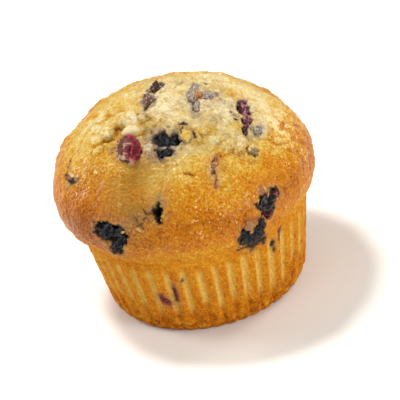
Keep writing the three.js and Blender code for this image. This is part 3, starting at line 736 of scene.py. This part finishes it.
bake_and_shading = np.interp(height, BAKE_HEIGHTS, BAKE_LEVELS)
for *place, change in BAKE_AND_SHADING_PATCHES:
    bake_and_shading += change * patch(smooth_points, *place)
bake_and_shading += roughness(smooth_points, (9, 0.05), (3.5, 0.05), (1.3, 0.03))
bake_and_shading += (0.06 + 0.5 * patches(MOTTLED_PATCHES)) * fractal(smooth_points, 2.4, 3)
crumb_bake = 0.17 + 0.27 * fractal(smooth_points, 5, 3) + 0.2 * fractal(smooth_points, 1.6, 2)
bake_and_shading = bake_and_shading * (1 - torn) + crumb_bake * torn
bake_and_shading = bake_and_shading * (1 - island) + island_bake * island
bake_and_shading += 0.35 * smooth_step(10, 2, height) * fractal(smooth_points, 1.5, 2)
# Painted shade: darker along the creases and in the hollows of the relief, less so on torn crumb.
bake_and_shading += 0.4 * crease + (0.3 - 0.25 * torn) * hollow
# Painted shade in the gap round each knob, and painted light: the knobs' tops a little paler.
bake_and_shading += (0.5 - 0.25 * torn) * np.maximum(-knob, 0) - 0.06 * np.maximum(knob, 0)
bake_and_shading = np.clip(bake_and_shading, 0, 1)


def new_mesh(name, at, polygons, shares):
    """A smooth mesh, from points in mm, with each share kept as an attribute of its points."""
    mesh = bpy.data.meshes.new(name)
    mesh.vertices.add(len(at))
    mesh.vertices.foreach_set("co", (at * MM).astype(np.float32).ravel())
    mesh.loops.add(polygons.size)
    mesh.loops.foreach_set("vertex_index", polygons.astype(np.int32).ravel())
    mesh.polygons.add(len(polygons))
    mesh.polygons.foreach_set("loop_start", np.arange(0, polygons.size, polygons.shape[1], dtype=np.int32))
    mesh.update(calc_edges=True)
    mesh.polygons.foreach_set("use_smooth", np.ones(len(polygons), bool))
    for share, values in shares.items():
        mesh.attributes.new(share, "FLOAT", "POINT").data.foreach_set("value", values.astype(np.float32))
    mesh.validate()
    piece = bpy.data.objects.new(name, mesh)
    bpy.context.scene.collection.objects.link(piece)
    return piece


shares = dict(bake_and_shading=bake_and_shading, torn=torn, groove=groove, socket=socket, flake=flake, flake_red=flake_red)
shares |= dict(shreds=shreds, shreds_pale=shreds_pale, stain_red=red_stain)
shares["dry"] = np.where(on_crown, np.maximum(0.7 * furrow, smooth_step(33, 27, height)), 1)
shares["olive"] = olive * (1 - island)
shares["deep_and_shade"] = deep_and_shade * (1 - 0.5 * island) * (1 - 0.6 * np.clip(knob, 0, 1))
shares["flour"] = np.clip(flour, 0, 1) * (1 - 0.5 * groove)
# painted glints: small highlights painted into the crust's colour, thinly everywhere on it
shares["painted_glint"] = np.maximum(painted_glint, 0.35) * (1 - torn) * on_crown
shares["stain"] = np.clip(stain * (0.6 + 0.5 * cover_noise), 0, 1)
crumb = new_mesh("crumb", points, faces, shares)

# ------------------------ crumb: finish
# Baked batter: pale and dull where it tore open, then yellow, golden, orange and brown where the crust
# took more heat, with a thin film of butter that gives the crust its gloss. Small glints, and shade in the
# hollows, creases and sockets, are painted into the colour as well.

BAKE_COLOURS = [  # from pale crumb to dark crust
    (0, "f0e0b2"), (0.16, "e6cf8e"), (0.32, "e0bc60"), (0.47, "d6a434"),
    (0.6, "d08a16"), (0.74, "cb780c"), (0.87, "b8660e"), (1, "964c0c"),
]
BAKE_BLOTCHES = [(3.2, 0.3), (1.2, 0.5), (0.5, 0.95)]  # size in mm and amount
CRUMB_COLOURS = {
    "groove": "e4bb5c", "olive": "caa754", "torn_olive_shade": "ae935c", "flour": "f7f0df", "painted_glint": "fed48a",
    # the socket colours are painted shade in the holes round the berries
    "stain": "6d6063", "red_stain": "8e5560", "socket": "3f3430", "red_socket_shade": "7c4236",
    "flake": "262226", "pale_flake": "b5a498", "red_flake": "8a2c36", "dark": "1a1214",
}
DEEP_AND_SHADE_TINT = (0.62, 0.57, 0.36, 1)
GLOSSY, DULL = 0.33, 0.78  # roughness of buttered crust and of torn crumb
BUTTER = 0.4
PORE_DEPTH = 0.9


def srgb(code):
    """A colour from its six hexadecimal digits."""
    parts = [int(code[k : k + 2], 16) / 255 for k in (0, 2, 4)]
    return [*(p / 12.92 if p <= 0.04045 else ((p + 0.055) / 1.055) ** 2.4 for p in parts), 1]


def add(tree, kind, settings=None, **inputs):
    """A node whose inputs are values or the sockets that feed them; _ stands for a space in a name."""
    made = tree.nodes.new("ShaderNode" + kind)
    for key, value in (settings or {}).items():
        setattr(made, key, value)
    for key, value in inputs.items():
        socket_in = made.inputs[int(key[1:]) if key[1:].isdigit() else key.replace("_", " ")]
        if isinstance(value, bpy.types.NodeSocket):
            tree.links.new(value, socket_in)
        else:
            socket_in.default_value = value
    return made


def share_of(tree, name):
    return add(tree, "Attribute", {"attribute_name": name}).outputs["Fac"]


def math_of(tree, operation, *values, clamp=False):
    inputs = {f"i{k}": value for k, value in enumerate(values)}
    return add(tree, "Math", {"operation": operation, "use_clamp": clamp}, **inputs).outputs[0]


def mixed(tree, share, first, second, blend="MIX"):
    settings = {"data_type": "RGBA", "blend_type": blend}
    return add(tree, "Mix", settings, i0=share, i6=first, i7=second).outputs[2]


def group(name, inputs, output, kind="NodeSocketFloat"):
    """An empty node group: its tree, the sockets that bring its inputs and the one that it puts out."""
    tree = bpy.data.node_groups.new(name, "ShaderNodeTree")
    for label in inputs:
        tree.interface.new_socket(label, in_out="INPUT", socket_type="NodeSocketFloat")
    tree.interface.new_socket(output, in_out="OUTPUT", socket_type=kind)
    return tree, tree.nodes.new("NodeGroupInput").outputs, tree.nodes.new("NodeGroupOutput").inputs[0]


def spaced(tree, size):
    """The inputs that give a texture a size in mm."""
    place = add(tree, "TexCoord").outputs["Object"]
    return {"Vector": place, "Scale": math_of(tree, "DIVIDE", 1 / MM, size)}


# Blotches: soft noise about 0, of a size in mm.
BLOTCHES, given, put_out = group("blotches", ["Size", "Amount"], "Value")
noise = add(BLOTCHES, "TexNoise", **spaced(BLOTCHES, given["Size"]), Detail=2.5, Roughness=0.55)
centred = math_of(BLOTCHES, "SUBTRACT", noise.outputs[0], 0.5)
BLOTCHES.links.new(math_of(BLOTCHES, "MULTIPLY", centred, given["Amount"]), put_out)

# Grain: a fine uneven surface of pores and beads, as a normal.
GRAIN, given, put_out = group("grain", ["Size", "Height"], "Normal", "NodeSocketVector")
spacing = spaced(GRAIN, given["Size"])
beads = add(GRAIN, "TexVoronoi", {"feature": "SMOOTH_F1"}, **spacing)
noise = add(GRAIN, "TexNoise", **spacing, Detail=3.0, Roughness=0.6)
relief = math_of(GRAIN, "SUBTRACT", noise.outputs[0], math_of(GRAIN, "MULTIPLY", beads.outputs[0], 0.5))
bump = add(GRAIN, "Bump", Strength=given["Height"], Distance=PORE_DEPTH * MM, Height=relief)
GRAIN.links.new(bump.outputs[0], put_out)


def blotches(tree, size, amount):
    return add(tree, "Group", {"node_tree": BLOTCHES}, Size=size, Amount=amount).outputs[0]


def grain(tree, size, height):
    return add(tree, "Group", {"node_tree": GRAIN}, Size=size, Height=height).outputs[0]


def new_material(name):
    material = bpy.data.materials.new(name)
    material.use_nodes = True
    material.node_tree.nodes.clear()
    return material, material.node_tree


def paint(tree, **inputs):
    shader = add(tree, "BsdfPrincipled", **inputs)
    tree.links.new(shader.outputs[0], add(tree, "OutputMaterial").inputs[0])


def crumb_material():
    material, tree = new_material("baked_crumb")
    tint = {name: srgb(code) for name, code in CRUMB_COLOURS.items()}

    def patchy(name, size, amount, least):
        """A share of the surface, broken up by blotches."""
        broken = math_of(tree, "ADD", blotches(tree, size, amount), least)
        return math_of(tree, "MULTIPLY", share_of(tree, name), broken, clamp=True)

    def between(name, first, second):
        return mixed(tree, share_of(tree, name), tint[first], tint[second])

    baked = share_of(tree, "bake_and_shading")
    for size, amount in BAKE_BLOTCHES:
        baked = math_of(tree, "ADD", baked, blotches(tree, size, amount))
    ramp = add(tree, "ValToRGB", Fac=baked)
    stops = ramp.color_ramp.elements
    for place, _ in BAKE_COLOURS[1:-1]:
        stops.new(place)
    for stop, (_, code) in zip(stops, BAKE_COLOURS):
        stop.color = srgb(code)

    # Painted glints: small highlights painted into the colour, in clusters where their share is high.
    painted_glint_density = math_of(tree, "MULTIPLY", share_of(tree, "painted_glint"), 1.6)
    painted_glint_clusters = math_of(tree, "SUBTRACT", math_of(tree, "ADD", blotches(tree, 1.7, 5.0), painted_glint_density), 2.2)
    dark = math_of(tree, "ADD", blotches(tree, 0.8, 3.0), 0.3, clamp=True)
    flake_colour = mixed(tree, dark, between("flake_red", "flake", "red_flake"), tint["dark"])
    colour = ramp.outputs[0]
    for mask, over, *blend in (
        (patchy("groove", 1.4, 1.4, 0.82), tint["groove"]),
        # olive where the crust took least colour, and grey-olive painted shade in the valleys of the torn
        # crumb
        (patchy("olive", 0.8, 1.6, 0.85), between("torn", "olive", "torn_olive_shade")),
        # painted shade: darker crumb in the hollows, below the berries and by the creases
        (share_of(tree, "deep_and_shade"), DEEP_AND_SHADE_TINT, "MULTIPLY"),
        (patchy("flour", 0.7, 3.4, 0.25), tint["flour"]),
        (patchy("painted_glint", 0.65, 12.0, painted_glint_clusters), tint["painted_glint"]),
        (patchy("stain", 1.1, 1.2, 0.75), between("stain_red", "stain", "red_stain")),
        # the crumb in each socket: painted shade in the hole round the berry, reddish beside the red
        # berries
        (share_of(tree, "socket"), between("stain_red", "socket", "red_socket_shade")),
        (share_of(tree, "flake"), flake_colour),
        (share_of(tree, "shreds"), between("shreds_pale", "flake", "pale_flake")),
    ):
        colour = mixed(tree, mask, colour, over, *blend)

    dull = math_of(tree, "MAXIMUM", share_of(tree, "torn"), share_of(tree, "groove"))
    dull = math_of(tree, "MAXIMUM", dull, share_of(tree, "dry"))
    rough = math_of(tree, "ADD", math_of(tree, "MULTIPLY", dull, DULL - GLOSSY), GLOSSY)
    paint(
        tree,
        Base_Color=colour,
        Roughness=math_of(tree, "ADD", rough, blotches(tree, 1.5, 0.3), clamp=True),
        Normal=grain(tree, 0.7, 1.1),
        Coat_Weight=math_of(tree, "MULTIPLY", math_of(tree, "SUBTRACT", 1, dull), BUTTER),
        Coat_Roughness=0.13,
        Coat_IOR=1.28,
        Sheen_Weight=0.15,
        Sheen_Roughness=0.5,
        Sheen_Tint=(1, 0.5, 0.1, 1),
        Subsurface_Weight=0.1,
        Subsurface_Radius=(1.0, 0.55, 0.25),
        Subsurface_Scale=1.2 * MM,
        IOR=1.4,
        Specular_IOR_Level=0.1,
        Specular_Tint=(1, 0.85, 0.6, 1),
    )
    return material


crumb.data.materials.append(crumb_material())
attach(crumb, "root")
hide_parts("muffin")

# ------------------------ crumb: loose bits
# Small bits of the same baked crumb cling round the sockets and lie on the berries. They came loose where
# the batter tore as it rose, and have baked on.

BITS = [  # bearing, climb, length, width, turn, rise, bake, stain
    (332, 78.5, 1.2, 0.7, 20, 0.7, 0.1, 0.3),  # on the dusty berry
    (345, 77, 1, 0.6, 50, 0.6, 0.1, 0.4), (355, 78.5, 1.1, 0.6, 0, 0.5, 0.1, 0.4),
    (329, 58, 1.8, 1.1, 20, 0.1, 0, 0.1), (332, 61, 1.3, 0.8, 60, 0.1, 0, 0.2),  # beside the plum berry
    (255.5, 21.8, 1.2, 0.7, -50, 0, 0.45, 0.2),  # at the pit
    (236.5, 11, 1.4, 0.7, 10, 0.1, 0.3, 0.4), (303.5, 14.5, 1.5, 0.7, 30, 0.1, 0.4, 0.5),
]
RIM_BITS = {"count": 150, "size": (0.25, 0.6), "seed": 7}
BALL_DIVISIONS = 3


def unit_ball():
    shape = bmesh.new()
    bmesh.ops.create_icosphere(shape, subdivisions=BALL_DIVISIONS, radius=1)
    at = np.array([v.co for v in shape.verts])
    triangles = np.array([[v.index for v in f.verts] for f in shape.faces])
    shape.free()
    return at, triangles


ball, ball_faces = unit_ball()


def bit_points(middle, out, length, width, turn, rise):
    """A crumbly lump, half sunk in the crust."""
    long, wide = directions(middle, out, turn)
    axes = np.stack([long * length / 2, wide * width / 2, out * min(length, width) / 2])
    at = middle + out * rise + ball @ axes
    away = ball @ np.stack([long, wide, out])
    return at + away * (0.4 * width * fractal(at, 0.8, 4))[:, None]


def loose_bits():
    """The points, the browning and the juice of each bit."""
    for bearing, climb, length, width, turn, rise, browned, juice in BITS:
        middle = crown_place(bearing, climb)
        out = normals[np.linalg.norm(smooth_points - middle, axis=1).argmin()]
        yield bit_points(middle, out, length, width, turn, rise), browned, juice
    draw = np.random.default_rng(RIM_BITS["seed"])
    for index in draw.choice(np.flatnonzero(on_rim), RIM_BITS["count"], replace=False):
        length, width = sorted(draw.uniform(*RIM_BITS["size"], 2))[::-1]
        turn = draw.uniform(0, 180)
        lump = bit_points(smooth_points[index], normals[index], length, width, turn, 0)
        yield lump, bake_and_shading[index] - 0.05, stain[index]


parts, bakes, stains = zip(*loose_bits())
at = np.concatenate(parts)
shares = {
    "bake_and_shading": np.repeat(bakes, len(ball)) + 0.12 * fractal(at, 1.4, 2),
    "stain": np.repeat(stains, len(ball)),
    "torn": np.ones(len(at)),
}
ball_starts = np.arange(len(parts))[:, None, None] * len(ball)
bits = new_mesh("crumb_bits", at, (ball_faces + ball_starts).reshape(-1, 3), shares)
bits.data.materials.append(crumb.data.materials[0])
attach(bits, "root")

# ------------------------ berries
# Blueberries that were stirred into the batter. In the oven they burst and shrank, so their skins are
# wrinkled and matt with bloom, and red flesh shows where they split. Each is set in its socket.

# Colours in the folds and on the ridges, of skin and of flesh; dust, roughness, height of the wrinkles in
# mm and how strongly they show. The ridges are lighter and the folds darker, partly as bloom and partly
# as painted highlight and shade.
SKINS = {
    "navy": ("070910", "2a2832", "2a0a16", "8a3350", 0.09, 0.36, 0.5, 0.8),
    "wine": ("120c10", "5e4c46", "3a0c14", "b04c58", 0.22, 0.36, 0.5, 0.8),
    "brown": ("321a10", "a4714f", "5a3430", "c49c8c", 0.25, 0.5, 0.4, 0.8),
    "dusty": ("523e3a", "c6b6a4", "a8602a", "e0a460", 0.8, 0.8, 0.1, 0.03),
    "olive": ("685630", "b8a270", "8a4a1c", "d89a50", 0.35, 0.7, 0.2, 0.03),
    "russet": ("7a3a1c", "cc8a56", "8c4a46", "eec4ba", 0.2, 0.4, 0.2, 0.8),
    "plum": ("3c121e", "b06a72", "742838", "e8aab0", 0.3, 0.26, 0.36, 0.8),
    "crimson": ("74402f", "dcb49a", "6c0a1a", "dc4460", 0.1, 0.18, 0.42, 0.8),
}
DUST_COLOUR = "eadecc"


def berry_material(skin):
    *codes, dust, rough, _, _ = SKINS[skin]
    fold, crest, flesh_fold, flesh_crest = map(srgb, codes)
    material, tree = new_material("berry_" + skin)
    # Lighter on the ridges, darker in the folds: painted highlight and shade, with bloom on the skins.
    ridge = math_of(tree, "ADD", share_of(tree, "ridge"), blotches(tree, 0.5, 1.6))
    ridge = math_of(tree, "SUBTRACT", math_of(tree, "MULTIPLY", ridge, 1.6), 0.3, clamp=True)
    flesh_colour = mixed(tree, ridge, flesh_fold, flesh_crest)
    colour = mixed(tree, share_of(tree, "flesh"), mixed(tree, ridge, fold, crest), flesh_colour)
    specks = math_of(tree, "MULTIPLY", blotches(tree, 0.45, 2 + 7 * dust), ridge, clamp=True)
    paint(
        tree,
        Base_Color=mixed(tree, math_of(tree, "MULTIPLY", specks, dust), colour, srgb(DUST_COLOUR)),
        Roughness=math_of(tree, "ADD", blotches(tree, 0.8, 0.5), rough, clamp=True),
        Normal=grain(tree, 0.4, 0.8),
        Specular_IOR_Level=0.35,
    )
    return material


skin_materials = {skin: berry_material(skin) for skin in SKINS}
for number, (name, berry) in enumerate(BERRIES.items()):
    wrinkle, contrast = SKINS[berry["skin"]][-2:]
    at, triangles = berry_shapes[name]
    shifted = at + 17.0 * number
    long_folds, short_folds = fractal(shifted * (1, 0.6, 1), 2.1, 2), fractal(shifted, 0.9, 2)
    folds = 1 - 3.2 * np.abs(long_folds) - 1.3 * np.abs(short_folds)
    flesh = np.zeros(len(at))
    for bearing, climb, radius in berry["flesh"]:
        away = np.linalg.norm(at - crown_place(bearing, climb), axis=1) / radius
        flesh = np.maximum(flesh, 1 - smooth_step(0.8, 1.15, away + 0.35 * fractal(shifted, 1.8, 2)))
    rise = 0.1 + wrinkle * (folds - 0.3) + 0.35 * fractal(shifted, 1.2, 3)
    rise += 0.8 * flesh * (1 - flesh) - 0.3 * flesh - berry["sink"]
    at = at + point_normals(at, triangles) * rise[:, None]
    shares = {"ridge": np.clip(0.5 + contrast * (folds - 0.45) - 0.1 * flesh, 0, 1), "flesh": flesh}
    piece = new_mesh(name + "_skin", at, triangles, shares)
    piece.data.materials.append(skin_materials[berry["skin"]])
    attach(piece, "root")
    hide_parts(name)

# ------------------------ table, light and camera
# The muffin stands on a pale table under soft studio light. The camera looks down on its front, tipped to
# one side.

TABLE_SIZE = 4000
CAMERA = {"place": (0, -497.4, 335.5), "aim": (1.97, 11.05, 16.4), "roll": 12.5, "lens": 201.85}
LIGHTS = {  # place and width in metres, power and colour
    "key": ((-0.14, 0.12, 0.55), 0.11, 2.25, (1, 0.985, 0.96)),
    "fill": ((0.45, -0.45, 0.25), 0.3, 2.75, (1, 0.99, 0.98)),
    "side": ((-0.5, -0.35, 0.25), 0.4, 0.6, (1, 0.99, 0.98)),
    "rim": ((-0.5, 0.25, 0.3), 0.3, 1.7, (1, 0.99, 0.97)),
    "back": ((0.5, 0.28, 0.36), 0.3, 1.3, (1, 0.96, 0.88)),
}
LIT_PLACE = Vector((0, 0, 0.03))

corners = np.array([(-1, -1, 0), (1, -1, 0), (1, 1, 0), (-1, 1, 0)]) * TABLE_SIZE / 2
table = new_mesh("table", corners, np.array([[0, 1, 2, 3]]), {})
pale, tree = new_material("pale_table")
tone = math_of(tree, "ADD", blotches(tree, 60, 0.06), 0.5)
paint(tree, Base_Color=mixed(tree, tone, srgb("f6f5f2"), srgb("fbfaf8")), Roughness=0.7)
table.data.materials.append(pale)

scene = bpy.context.scene
for name, (place, width, power, colour) in LIGHTS.items():
    lamp = bpy.data.lights.new(name, "AREA")
    lamp.shape, lamp.size = "DISK", width
    lamp.energy, lamp.color = power, colour
    light = bpy.data.objects.new(name, lamp)
    light.location = place
    light.rotation_euler = (LIT_PLACE - Vector(place)).to_track_quat("-Z", "Y").to_euler()
    scene.collection.objects.link(light)

roll = CAMERA["roll"] * DEGREE
forward = (Vector(CAMERA["aim"]) - Vector(CAMERA["place"])).normalized()
level = forward.cross(Vector((0, 0, 1))).normalized()
upright = level.cross(forward)
right = level * math.cos(roll) - upright * math.sin(roll)
up = level * math.sin(roll) + upright * math.cos(roll)
lens = bpy.data.cameras.new("camera")
lens.lens, lens.sensor_width, lens.clip_end = CAMERA["lens"], 36, 20
camera = bpy.data.objects.new("camera", lens)
axes = Matrix((right, up, -forward)).transposed().to_4x4()
camera.matrix_world = Matrix.Translation(Vector(CAMERA["place"]) * MM) @ axes
scene.collection.objects.link(camera)
scene.camera = camera

world = bpy.data.worlds.new("studio")
world.use_nodes = True
background = world.node_tree.nodes["Background"].inputs
background["Color"].default_value = (1, 0.98, 0.94, 1)
background["Strength"].default_value = 0.3
scene.world = world
scene.view_settings.view_transform = "Standard"
